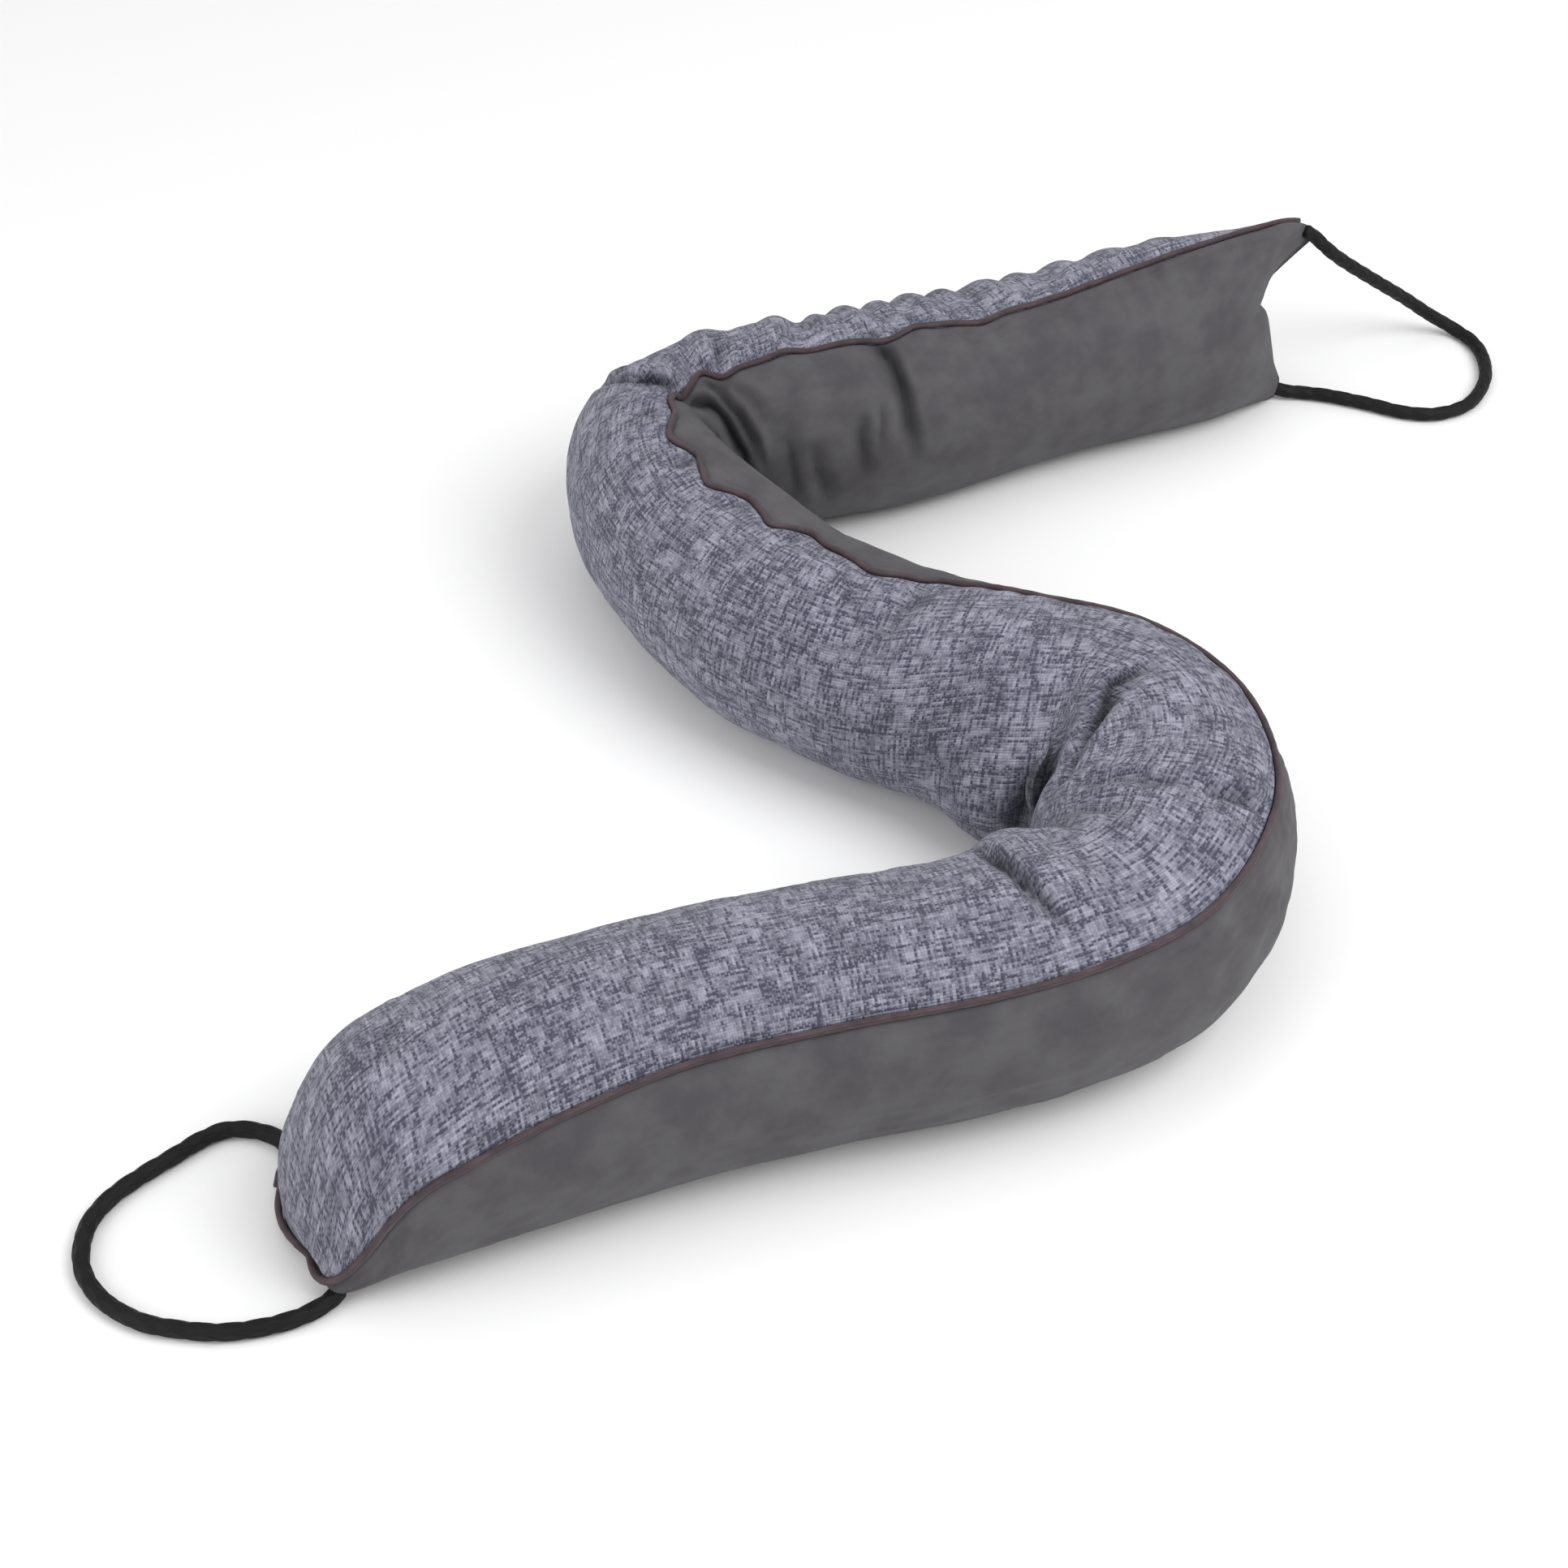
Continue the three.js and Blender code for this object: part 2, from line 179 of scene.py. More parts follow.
def distanceAlong(points):
    return np.concatenate([[0], np.cumsum(np.linalg.norm(np.diff(points, axis=0), axis=1))])


def intoScene(name, data):
    piece = bpy.data.objects.new(name, data)
    bpy.context.scene.collection.objects.link(piece)
    return piece


def sectionsAt(at):
    # frames and sizes of the sections at an array of distances, each shaped to work with an array of turns
    at = np.asarray(at, float)
    ahead, behind = np.minimum(at + 1, tube["length"]), np.maximum(at - 1, 0)
    run = np.stack([column("x", ahead) - column("x", behind), column("y", ahead) - column("y", behind)], 1)
    run = unit(run)
    inset = np.minimum(at, tube["length"] - at)
    atLeft = at < tube["length"] / 2
    s = {name: np.where(atLeft, leftEnd[name], rightEnd[name]).astype(float) for name in leftEnd}
    shut = np.maximum(0, 1 - inset / s["fill"])
    corner = np.maximum(0, tube["cornerRadius"] - inset)
    rounding = tube["cornerRadius"] - np.sqrt(tube["cornerRadius"] ** 2 - corner**2)
    s["settled"] = smooth(inset / s["settle"])
    s["fill"] = (1 - shut ** s["power"]) ** (1 / s["power"])
    pulled = sum(degrees * np.exp(-(((at - place) / width) ** 2)) for place, width, degrees in scallops)
    s["pulled"] = np.radians(pulled)
    s["seam"] = np.radians(column("seam", at)) + s["pulled"]
    s["half"] = column("half", at)
    s["high"] = column("high", at)
    s["level"] = (s["high"] - tube["floorFlat"]) / 2 * s["settled"] + s["rise"] * (1 - s["settled"])
    s["chord"] = s["chord"] - rounding
    s["at"] = at
    s = {name: value[:, None] for name, value in s.items()}
    flat = np.zeros_like(at)
    s["middle"] = np.stack([column("x", at), column("y", at), flat], 1)[:, None, :]
    s["along"] = np.stack([run[:, 0], run[:, 1], flat], 1)[:, None, :]
    s["right"] = np.stack([run[:, 1], -run[:, 0], flat], 1)[:, None, :]
    return s


def foldDepth(at, turn):
    # how far the broad folds draw the cloth in; turn in radians round from the leading seam
    depth = np.zeros(np.broadcast(at, turn).shape)
    for row in folds:
        fold = dict(zip(foldColumns, row))
        across = (np.degrees(turn) - fold["turn"] + 180) % 360 - 180
        off = (at - fold["at"] - fold["slant"] * across) / fold["width"]
        depth += fold["depth"] * np.exp(-(off**2) - (across / fold["span"]) ** 4)
    band = np.exp(-(((np.degrees(turn) - ruffleBand["turn"]) / ruffleBand["span"]) ** 4))
    for place, width, height in ruffles:
        off = (at - place) / width
        dip = ruffleBand["dip"] * np.exp(-((off - ruffleBand["dipAfter"]) ** 2))
        depth += height * (dip - np.exp(-(off**2))) * band
    return depth


def outline(s, turn):
    # points of the sections, turn radians round from the leading seam
    around = s["seam"] + turn
    flatUp = tube["seamThickness"] / 2 * np.sin(turn)
    flatOut = s["chord"] * np.cos(turn)
    inward = foldDepth(s["at"], turn) * s["fill"]
    fill, flat = s["fill"], 1 - s["fill"]
    across = (s["half"] - inward) * np.cos(around) * fill
    across = across + (flatOut * np.cos(s["seam"]) - flatUp * np.sin(s["seam"])) * flat
    level = s["level"]
    reach = np.where(np.sin(around) > 0, s["high"] - level, level + tube["floorFlat"] * s["settled"])
    up = (reach - inward) * np.sin(around) * fill
    up = up + (flatOut * np.sin(s["seam"]) + flatUp * np.cos(s["seam"])) * flat
    height = level + up
    past = s["way"] * (endBow(s, turn) + s["lean"] * np.cos(turn)) * flat
    past = past + s["way"] * s["overhang"] * fill * (1 - s["settled"]) * np.maximum(0, np.sin(turn))
    points = s["middle"] + s["right"] * across[..., None] + s["along"] * past[..., None]
    points[..., 2] = np.maximum(height, 0)
    return points


def endBow(s, turn):
    # how far an end seam reaches past the last station, apart from its lean
    off = np.cos(turn) - s["notch"]
    first = np.maximum(0, off / (1 - s["notch"])) ** s["bow"]
    second = np.maximum(0, -off / (1 + s["notch"])) ** s["lowBow"]
    return s["ear"] * (first + second) + s["belly"] * np.sin(turn) ** 2


def outward(s, turn):
    # unit vectors out of the tube, in the plane of each section
    around = s["seam"] + turn
    out = s["right"] * np.cos(around)[..., None]
    out[..., 2] = np.sin(around)
    return out


def seamOver(s):
    # unit vectors square to the plane of the seams, to the patterned panel's side
    over = -s["right"] * np.sin(s["seam"])[..., None]
    over[..., 2] = np.cos(s["seam"])
    return over


piping = {
    "radius": 1.3,
    "depth": 3.3,  # how far the seam between the panels lies inside the tube
    "inset": 2.6,  # from that seam out to the middle of the piping
    "endInset": 1.35,  # the same round the left end, and what is added at its corners
    "cornerInset": 0.8,
    "short": 1.5,  # of the right end
    "gap": 0.3,  # between the panels
    "shoulder": 9,  # across each panel, from the seam to where the cloth is full again
    "clearance": 0.2,  # over the floor
    "step": 1.5,
    "sides": 14,
    "lump": 0.12,  # how uneven the stuffed trim is
    "lumpRates": (0.83, 0.19),
    "capTurns": (6, 174, 60),  # round the left end: first, last and how many
}


def seamLine(s, turn):
    # where the panels meet, set in far enough to seat the piping clear of them and of the floor
    turn = np.full_like(s["at"], turn)
    out = outward(s, turn)
    points = outline(s, turn) - out * piping["depth"]
    lowest = piping["radius"] + piping["inset"] + piping["clearance"]
    lift = np.minimum(1, 2 * np.maximum(0, -out[..., 2])) * np.maximum(0, lowest - points[..., 2])
    points[..., 2] = np.maximum(points[..., 2] + lift, piping["radius"] + piping["clearance"] / 2)
    return points


def seamFace(s, turn):
    # the face between the panels, level with each turn
    drawnIn = s["way"] * (endBow(s, turn) - s["ear"]) * (1 - s["fill"])
    share = ((1 - np.cos(turn)) / 2)[..., None]
    return seamLine(s, 0) * (1 - share) + seamLine(s, math.pi) * share + s["along"] * drawnIn[..., None]


def rowList(step):
    # distances along the tube, close together at the ends and a step apart between them
    ends = list(tube["endSteps"])
    between = round((tube["length"] - 2 * ends[-1]) / step)
    middle = np.linspace(ends[-1], tube["length"] - ends[-1], between + 1)[1:-1]
    return np.array(ends + list(middle) + [tube["length"] - e for e in reversed(ends)])


# Creases placed after the photograph. width and depth: mm; lip: how far the cloth beyond the crease,
# further along, swells over it; line: its course over the tube, as (at, turn) points.
creaseColumns = ("width", "depth", "lip", "line")
creases = [
    (2.0, 4.5, 1.4, [(247, 92), (248, 81), (250, 68), (253, 48), (256, 36), (259, 22)]),
    (1.9, 5, 1.2, [(364, 112), (368, 105), (382, 93), (401, 75), (400, 62), (398, 48)]),
    (1.8, 3.6, 0.9, [(367, 101), (372, 97), (386, 87), (397, 74), (393, 64)]),
    (2.0, 4, 1.2, [(334, 116), (346, 103), (358, 104), (368, 101)]),
    (2.4, 2.6, 1.2, [(338, 96), (335, 76), (333, 57), (337, 42)]),
    (2.4, 3.6, 1.4, [(336, 36), (338, 29), (340, 18), (341, 2)]),
    (2.4, 1.8, 0.8, [(352, 40), (348, 26), (349, 12)]),
    (3.6, 3, 1.2, [(314, 98), (312, 80), (316, 56)]),
    (3.2, 2.4, 0.8, [(300, 104), (294, 88), (290, 72)]),
    (4.0, 5, 1, [(436, 156), (439, 140), (434, 124), (424, 112)]),
    (3.6, 2.2, 1.2, [(491, 2), (490, 20), (493, 40), (498, 58)]),
    (3.6, 1.8, 0.8, [(468, 40), (464, 72), (462, 100)]),
    (3.0, 2, 0.8, [(514, 14), (512, 30)]),
    (2.8, 3, 1, [(548, 24), (547, 12), (547, 0)]),
    (2.8, 2.6, 1, [(579, 20), (578, 10), (577, 0)]),
    (2.8, 3, 1, [(617, 22), (616, 10), (616, 0)]),
    (2.8, 3.2, 1, [(655, 32), (653, 16), (652, 0)]),
    (2.4, 6.5, 2.6, [(680, 80), (677, 60), (675, 38), (681, 20), (689, 6)]),
    (2.0, 8, 2.0, [(686, 4), (692, -8), (698, -18), (712, -34), (720, -52), (722, -70)]),
    (2.0, 5, 1.6, [(703, -4), (713, -14), (720, -27), (725, -46), (727, -62)]),
    (2.2, 2.4, 0.8, [(716, -2), (728, -22), (733, -40)]),
    (2.6, 3, 1.2, [(717, 2), (718, 16), (720, 30)]),
    (2.2, 5, 1.8, [(791, 14), (792, 2), (794, -15), (795, -34), (795, -54), (796, -76)]),
    (2.2, 3, 0.8, [(787, -40), (785, -52), (781, -70)]),
    (2.8, 3.4, 1.2, [(778, -46), (775, -60), (776, -84)]),
    (3.2, 3, 1, [(757, -58), (760, -80), (764, -100)]),
    (3.4, 2.4, 0.8, [(746, -50), (748, -70), (751, -94)]),
    (4.0, 1.6, 0.6, [(44, 80), (36, 72), (30, 60)]),
]


creaseShape = {
    "power": 1.3,  # of the valley's profile
    "lipAt": 2.4,  # widths from the line to the middle of the lip
    "lipBefore": 0.35,  # of the lip, on the other side
    "fade": 0.6,  # the power by which a crease fades out to both ends of its line
    "near": 70,  # mm along, past which a crease isn't looked for
    "darkDepth": 5,  # mm, from which it is fully dark
    "darkPower": 1.5,
    "pieces": 6,  # of the line, for each of its points
}


def creaseDepth(s, points):
    # how far the listed creases draw each point in, by its distance from their lines, and how hidden
    # from the light it is there
    depth = np.zeros(points.shape[:2])
    hidden = np.zeros(points.shape[:2])
    for row in creases:
        crease = dict(zip(creaseColumns, row))
        line = np.array(crease["line"], float)
        share = np.linspace(0, len(line) - 1, creaseShape["pieces"] * len(line))
        lineAt = np.interp(share, np.arange(len(line)), line[:, 0])
        lineTurn = np.radians(np.interp(share, np.arange(len(line)), line[:, 1]))
        onLine = np.array([outline(sectionsAt([a]), np.array([[t]]))[0, 0] for a, t in zip(lineAt, lineTurn)])
        rows = np.where(np.abs(s["at"][:, 0] - lineAt.mean()) < creaseShape["near"])[0]
        place = np.zeros((len(rows), points.shape[1]))
        nearest = np.full_like(place, np.inf)
        nearestAt = np.zeros_like(place)
        for k in range(len(onLine) - 1):
            a, b = onLine[k], onLine[k + 1]
            offset = points[rows] - a
            t = np.clip(offset @ (b - a) / ((b - a) @ (b - a)), 0, 1)
            distance = np.linalg.norm(offset - t[..., None] * (b - a), axis=2)
            closer = distance < nearest
            nearest = np.where(closer, distance, nearest)
            place = np.where(closer, (k + t) / (len(onLine) - 1), place)
            nearestAt = np.where(closer, lineAt[k] + t * (lineAt[k + 1] - lineAt[k]), nearestAt)
        taper = np.sin(math.pi * np.clip(place, 0.001, 0.999)) ** creaseShape["fade"]
        off = nearest / crease["width"]
        valley = np.exp(-(off ** creaseShape["power"]))
        lip = np.exp(-((off - creaseShape["lipAt"]) ** 2))
        lip = lip * np.where(s["at"][rows] > nearestAt, 1, creaseShape["lipBefore"])
        depth[rows] += taper * (crease["depth"] * valley - crease["lip"] * lip)
        strong = min(1, (crease["depth"] / creaseShape["darkDepth"]) ** creaseShape["darkPower"])
        hidden[rows] = np.maximum(hidden[rows], taper * np.exp(-(off**2)) * strong)
    return depth, hidden


# The small gathers that run into the cloth from each seam, and the unevenness of the filling. The pairs are
# the least and the most of what chance makes of a value.
puckers = {
    "spacing": 13,  # between the gathers along a seam
    "spacings": (0.55, 1.5),
    "reach": 17,  # how far they run into the cloth
    "reaches": (0.5, 1.3),
    "width": 4.2,
    "widths": (0.7, 1.4),
    "depth": 1.0,
    "depths": (0.2, 1.5),
    "slants": (-0.35, 0.35),
    "farFrom": 690,  # the far run is gathered more
    "farMore": 0.9,
    "margin": 4,  # from the tube's ends
    "window": 30,  # along the tube, past which a gather isn't felt
    "seamFade": 3,  # from the seam in to where they are at their deepest
    "edge": 5,  # from the seam in to where the cloth is free to move
}
dimples = {
    "count": 420,
    "width": 21,
    "widths": (0.5, 1.3),
    "depth": 0.55,
}
# Of chance, by side: for the gathers of the first and the second seam, and for the filling.
seeds = {1: (11, 38, 5), -1: (23, 42, 7)}


def puckerDepth(s, fromSeam, seed):
    # small gathers that run into the cloth from one seam, fading out
    dice = np.random.default_rng(seed)
    depth = np.zeros(fromSeam.shape)
    at = dice.uniform(puckers["margin"], puckers["spacing"])
    while at < tube["length"] - puckers["margin"]:
        slant = dice.uniform(*puckers["slants"])
        reach = puckers["reach"] * dice.uniform(*puckers["reaches"])
        width = puckers["width"] * dice.uniform(*puckers["widths"])
        strong = puckers["depth"] * dice.uniform(*puckers["depths"])
        strong = strong * (1 + puckers["farMore"] * (at > puckers["farFrom"]))
        rows = np.abs(s["at"][:, 0] - at) < puckers["window"]
        off = (s["at"][rows] - at - slant * fromSeam[rows]) / width
        run = fromSeam[rows] / reach
        rise = np.minimum(1, fromSeam[rows] / puckers["seamFade"])
        depth[rows] += strong * np.exp(-(off**2)) * rise * np.exp(-(run**2))
        at += puckers["spacing"] * dice.uniform(*puckers["spacings"])
    return depth


def dimpleDepth(points, seed):
    # the filling lies unevenly under the cloth
    dice = np.random.default_rng(seed)
    flat = points.reshape(-1, 3)
    depth = np.zeros(len(flat))
    centres = flat[dice.integers(0, len(flat), dimples["count"])]
    for centre in centres:
        width = dimples["width"] * dice.uniform(*dimples["widths"])
        strong = dimples["depth"] * dice.uniform(-1, 1)
        depth += strong * np.exp(-((flat - centre) ** 2).sum(1) / width**2)
    return depth.reshape(points.shape[:2])


def normalsOf(points, side):
    # unit normals of a grid of points, out of the tube
    alongStep = np.gradient(points, axis=0)
    acrossStep = np.gradient(points, axis=1)
    normal = np.cross(acrossStep, alongStep) * side
    return normal / np.maximum(np.linalg.norm(normal, axis=2, keepdims=True), 1e-9)


def panelGrid(side, step, columns):
    # a panel's rows, sections and turns, which are closer together near the seams, and how far each point is
    # from the first and from the second seam
    at = rowList(step)
    s = sectionsAt(at)
    share = np.linspace(0, 1, columns)
    fromFirst = math.pi * (share - tube["bunched"] * np.sin(2 * math.pi * share) / (2 * math.pi))
    turn = (fromFirst if side > 0 else 2 * math.pi - fromFirst)[None, :]
    return at, s, turn, fromFirst * s["half"], (math.pi - fromFirst) * s["half"]


def drawnToSeams(s, points, arc, toEnd, side):
    # the cloth rounds over into the two seams
    over = seamOver(s) * (side * piping["gap"] / 2)
    for turnOfSeam, distance in ((0, arc), (math.pi, toEnd)):
        target = seamLine(s, turnOfSeam) + over
        onTube = outline(s, np.full_like(s["at"], turnOfSeam))
        u = np.clip(distance / piping["shoulder"], 0, 1)
        weight = 1 - np.sqrt(1 - (1 - u) ** 2)
        points = points + (target - onTube) * weight[..., None]
    points[..., 2] = np.maximum(points[..., 2], 0)
    return points


# The cloth simulation: each panel is pinned along its seams and ends and filled by a pressure. Its rest shape
# is a tube with easier bends and a little more cloth, so the real bends gather it.
cloth = {
    "step": 3.4,  # mm between the rows of its grid
    "columns": 54,
    "frames": 22,
    "straighter": 0.8,  # share of the bends that the rest shape keeps
    "slack": 1.012,
    "pressure": 0.35,
    "mass": 0.0006,
    "tension": 6.0,
    "shear": 2.0,
    "bending": 0.04,
    "quality": 6,
    "onFloor": 1.5,  # height under which the cloth is pinned as well
    "cap": 3.6,  # mm, the most that it moves the cloth
}


def easierBends(s):
    # the same sections along a way with shallower bends
    along = s["along"][:, 0]
    heading = np.unwrap(np.arctan2(along[:, 1], along[:, 0])) * cloth["straighter"]
    flat = np.zeros_like(heading)
    straighter = np.stack([np.cos(heading), np.sin(heading), flat], 1)
    steps = np.diff(s["at"][:, 0], prepend=0)[:, None] * cloth["slack"]
    rest = dict(s)
    rest["along"] = straighter[:, None, :]
    rest["right"] = np.stack([straighter[:, 1], -straighter[:, 0], flat], 1)[:, None, :]
    rest["middle"] = np.cumsum(steps * straighter, axis=0)[:, None, :]
    return rest


def simulatedCloth(side):
    # how the simulation moves a coarse grid of one panel, in mm, with the grid's rows
    at, s, turn, arc, toEnd = panelGrid(side, cloth["step"], cloth["columns"])
    start = drawnToSeams(s, outline(s, turn), arc, toEnd, side)
    easier = easierBends(s)
    rest = drawnToSeams(easier, outline(easier, turn), arc, toEnd, side)
    rows, columns = start.shape[:2]
    scene = bpy.context.scene
    mesh = bpy.data.meshes.new("cloth")
    corner = (np.arange(rows - 1)[:, None] * columns + np.arange(columns - 1)).ravel()
    quads = np.stack([corner, corner + 1, corner + columns + 1, corner + columns], 1)
    quads = quads if side < 0 else quads[:, ::-1]
    mesh.from_pydata((start.reshape(-1, 3) * mm).tolist(), [], quads.tolist())
    sheet = intoScene("cloth", mesh)
    sheet.shape_key_add(name="Basis")
    key = sheet.shape_key_add(name="rest")
    key.data.foreach_set("co", (rest * mm).ravel())
    border = np.zeros((rows, columns), bool)
    border[:2] = border[-2:] = True
    border[:, :2] = border[:, -2:] = True
    border |= start[..., 2] < cloth["onFloor"]
    pins = sheet.vertex_groups.new(name="pins")
    pins.add(np.flatnonzero(border).tolist(), 1.0, "REPLACE")
    settings = sheet.modifiers.new("cloth", "CLOTH").settings
    settings.vertex_group_mass = "pins"
    settings.rest_shape_key = key
    settings.mass = cloth["mass"]
    settings.tension_stiffness = settings.compression_stiffness = cloth["tension"]
    settings.shear_stiffness = cloth["shear"]
    settings.bending_stiffness = cloth["bending"]
    settings.use_pressure = True
    settings.uniform_pressure_force = cloth["pressure"]
    settings.effector_weights.gravity = 0
    settings.quality = cloth["quality"]
    for frameNumber in range(1, cloth["frames"] + 1):
        scene.frame_set(frameNumber)
    result = np.zeros(rows * columns * 3)
    sheet.evaluated_get(bpy.context.evaluated_depsgraph_get()).data.vertices.foreach_get("co", result)
    scene.frame_set(1)
    moved = result.reshape(start.shape) / mm - start
    bpy.data.objects.remove(sheet)
    bpy.data.meshes.remove(mesh)
    length = np.maximum(np.linalg.norm(moved, axis=2, keepdims=True), 1e-6)
    print("cloth simulated, median and most moved in mm:", np.median(length), length.max())
    return at, moved * np.tanh(length / cloth["cap"]) * cloth["cap"] / length


def onFinerGrid(at, values, finerAt, columns):
    # a grid of values on more rows and columns, between its own in straight lines
    row = np.interp(finerAt, at, np.arange(len(at)))
    place = np.linspace(0, values.shape[1] - 1, columns)
    i = np.minimum(row.astype(int), len(at) - 2)
    j = np.minimum(place.astype(int), values.shape[1] - 2)
    u, v = (row - i)[:, None, None], (place - j)[None, :, None]
    near = values[i][:, j] * (1 - v) + values[i][:, j + 1] * v
    far = values[i + 1][:, j] * (1 - v) + values[i + 1][:, j + 1] * v
    return near * (1 - u) + far * u


def panelSkin(side):
    # the outer skin of one panel: side is 1 for the patterned one and -1 for the plain one
    at, s, turn, arc, toEnd = panelGrid(side, tube["step"], tube["columns"])
    points = outline(s, turn)
    inward, hidden = creaseDepth(s, points)
    firstSeed, secondSeed, fillingSeed = seeds[side]
    inward = inward + puckerDepth(s, arc, firstSeed)
    inward = inward + puckerDepth(s, toEnd, secondSeed)
    inward = inward + dimpleDepth(points, fillingSeed)
    edge = np.minimum(1, np.minimum(arc, toEnd) / puckers["edge"]) * s["fill"]
    coarseAt, moved = simulatedCloth(side)
    points = points - normalsOf(points, -side) * (inward * edge)[..., None]
    points = points + onFinerGrid(coarseAt, moved, at, tube["columns"])
    return s, turn, drawnToSeams(s, points, arc, toEnd, side), hidden


def evened(values, at, reach):
    # values smoothed from row to row
    apart = (at[:, None] - at[None, :]) / reach
    share = np.exp(-(apart**2))
    return (share / share.sum(1, keepdims=True)) @ values


def clothUv(s, turn, side):
    # the cloth laid flat, in metres: along by the mean step of each row, across from the middle column;
    # it keeps straight where the seams are pulled out of line
    points = outline(s, turn)
    at = s["at"][:, 0]
    steps = np.linalg.norm(np.diff(points, axis=0), axis=2).mean(1)
    along = np.concatenate([[0], np.cumsum(steps)])[:, None] * np.ones((1, points.shape[1]))
    widths = np.linalg.norm(np.diff(points, axis=1), axis=2)
    across = np.concatenate([np.zeros((len(points), 1)), np.cumsum(widths, axis=1)], axis=1)
    across = evened(across - across[:, points.shape[1] // 2][:, None], at, tube["evenOver"])
    return np.stack([along, across + side * s["pulled"] * s["half"]], 2) * mm


def meshFromRings(name, rings, uv, turned, hidden=None):
    # a skin over rings of points, filled at both ends
    count, size = rings.shape[:2]
    mesh = bpy.data.meshes.new(name)
    faces = []
    for i in range(count - 1):
        here, there = i * size, (i + 1) * size
        for j in range(size):
            k = (j + 1) % size
            quad = (here + j, there + j, there + k, here + k)
            faces.append(quad if turned else quad[::-1])
    mesh.from_pydata((rings.reshape(-1, 3) * mm).tolist(), [], faces)
    layer = mesh.uv_layers.new(name="Cloth")
    corners = np.zeros(len(mesh.loops), int)
    mesh.loops.foreach_get("vertex_index", corners)
    layer.data.foreach_set("uv", uv.reshape(-1, 2)[corners].ravel())
    if hidden is not None:
        mesh.attributes.new("Hidden", "FLOAT", "POINT").data.foreach_set("value", hidden.ravel())
    work = bmesh.new()
    work.from_mesh(mesh)
    filled = bmesh.ops.holes_fill(work, edges=[e for e in work.edges if e.is_boundary], sides=0)
    bmesh.ops.triangulate(work, faces=filled["faces"])
    work.to_mesh(mesh)
    work.free()
    mesh.polygons.foreach_set("use_smooth", [True] * len(mesh.polygons))
    mesh.update()
    return intoScene(name, mesh)


def makePanel(name, side):
    s, turn, points, hidden = panelSkin(side)
    innerTurns = np.radians(np.linspace(*tube["innerTurns"]))[None, :]
    inner = seamFace(s, innerTurns) + seamOver(s) * (side * piping["gap"] / 2)
    uv = clothUv(s, turn, side)
    innerUv = np.repeat(uv[:, -1:, :], inner.shape[1], axis=1)
    rings = np.concatenate([points, inner], axis=1)
    # the face between the panels is fully hidden, so it gets the deepest painted crease shade
    hidden = np.concatenate([hidden, np.ones(inner.shape[:2])], axis=1)
    return meshFromRings(name, rings, np.concatenate([uv, innerUv], axis=1), side > 0, hidden)


def makePiping():
    # from the right end back along the leading seam, round the left end and along the other seam
    at = rowList(piping["step"])
    at = at[at <= tube["length"] - piping["short"]]
    s = sectionsAt(at)
    over = seamOver(s)[:, 0]
    ease = piping["inset"] + piping["cornerInset"] * (1 - s["fill"][:, 0]) ** 2
    capTurns = np.radians(np.linspace(*piping["capTurns"]))
    cap = seamFace(s, capTurns[None, :])[0]
    capEase = piping["endInset"] + piping["cornerInset"] * np.cos(capTurns) ** 4
    route = np.concatenate([seamLine(s, 0)[::-1, 0], cap, seamLine(s, math.pi)[:, 0]])
    across = np.concatenate([over[::-1], np.repeat(over[:1], len(cap), 0), over])
    inset = np.concatenate([ease[::-1], capEase, ease])
    out = unit(np.cross(across, np.gradient(route, axis=0)))
    middle = route + out * inset[:, None]
    middle[:, 2] = np.maximum(middle[:, 2], piping["radius"] + piping["clearance"] / 2)
    tangent = unit(np.gradient(middle, axis=0))
    side = unit(np.cross(across, tangent))
    run = distanceAlong(middle)
    quick, slow = piping["lumpRates"]
    lump = piping["lump"] * (0.5 + 0.5 * np.sin(run * quick + 2 * np.sin(run * slow)))
    radius = piping["radius"] - lump[:, None]
    turn = turnsRound(piping["sides"])
    return sweep("seamPiping", middle, side, np.cross(tangent, side), radius, run, turn, True)


def turnsRound(sides):
    return np.linspace(0, 2 * math.pi, sides, endpoint=False)[None, :]


def sweep(name, middle, side, top, radius, run, turn, turned):
    # a round cord along the middles
    rings = middle[:, None] + side[:, None] * (radius * np.cos(turn))[..., None]
    rings = rings + top[:, None] * (radius * np.sin(turn))[..., None]
    rings[..., 2] = np.maximum(rings[..., 2], offFloor)
    uv = np.stack(np.broadcast_arrays(run[:, None] * mm, turn / (2 * math.pi)), 2)
    return meshFromRings(name, rings, uv, turned)


# The elastic loops: their routes from one corner of the end seam to the other.
elastic = {
    "diameter": 6,
    "sides": 40,
    "step": 0.55,
    "strands": 8,  # of the braid, each way round
    "lay": 9.0,  # mm along the cord for one turn of a strand
    "relief": 0.22,
    "rounded": 1.5,  # of each end
    "endRadius": 0.75,  # of the radius, at the very ends
    "finer": 40,  # points of the smooth line to each of the route's
}
leftLoop = [
    (-192, -222, 3.4), (-194, -216, 3.2), (-196, -210.5, 3.1), (-200.5, -205, 3.1), (-208.5, -201.5, 3.1),
    (-218, -201, 3.1), (-226, -205, 3.1), (-235, -213, 3.1), (-245, -222, 3.1), (-253, -231, 3.1),
    (-258, -242, 3.1), (-258, -255, 3.1), (-254, -265, 3.1), (-246, -274, 3.1), (-234, -281, 3.1),
    (-221, -284, 3.1), (-208, -285, 3.1), (-195, -283, 3.1), (-184, -279, 3.1), (-176, -273.5, 3.3),
    (-172, -268.5, 4.2),
]
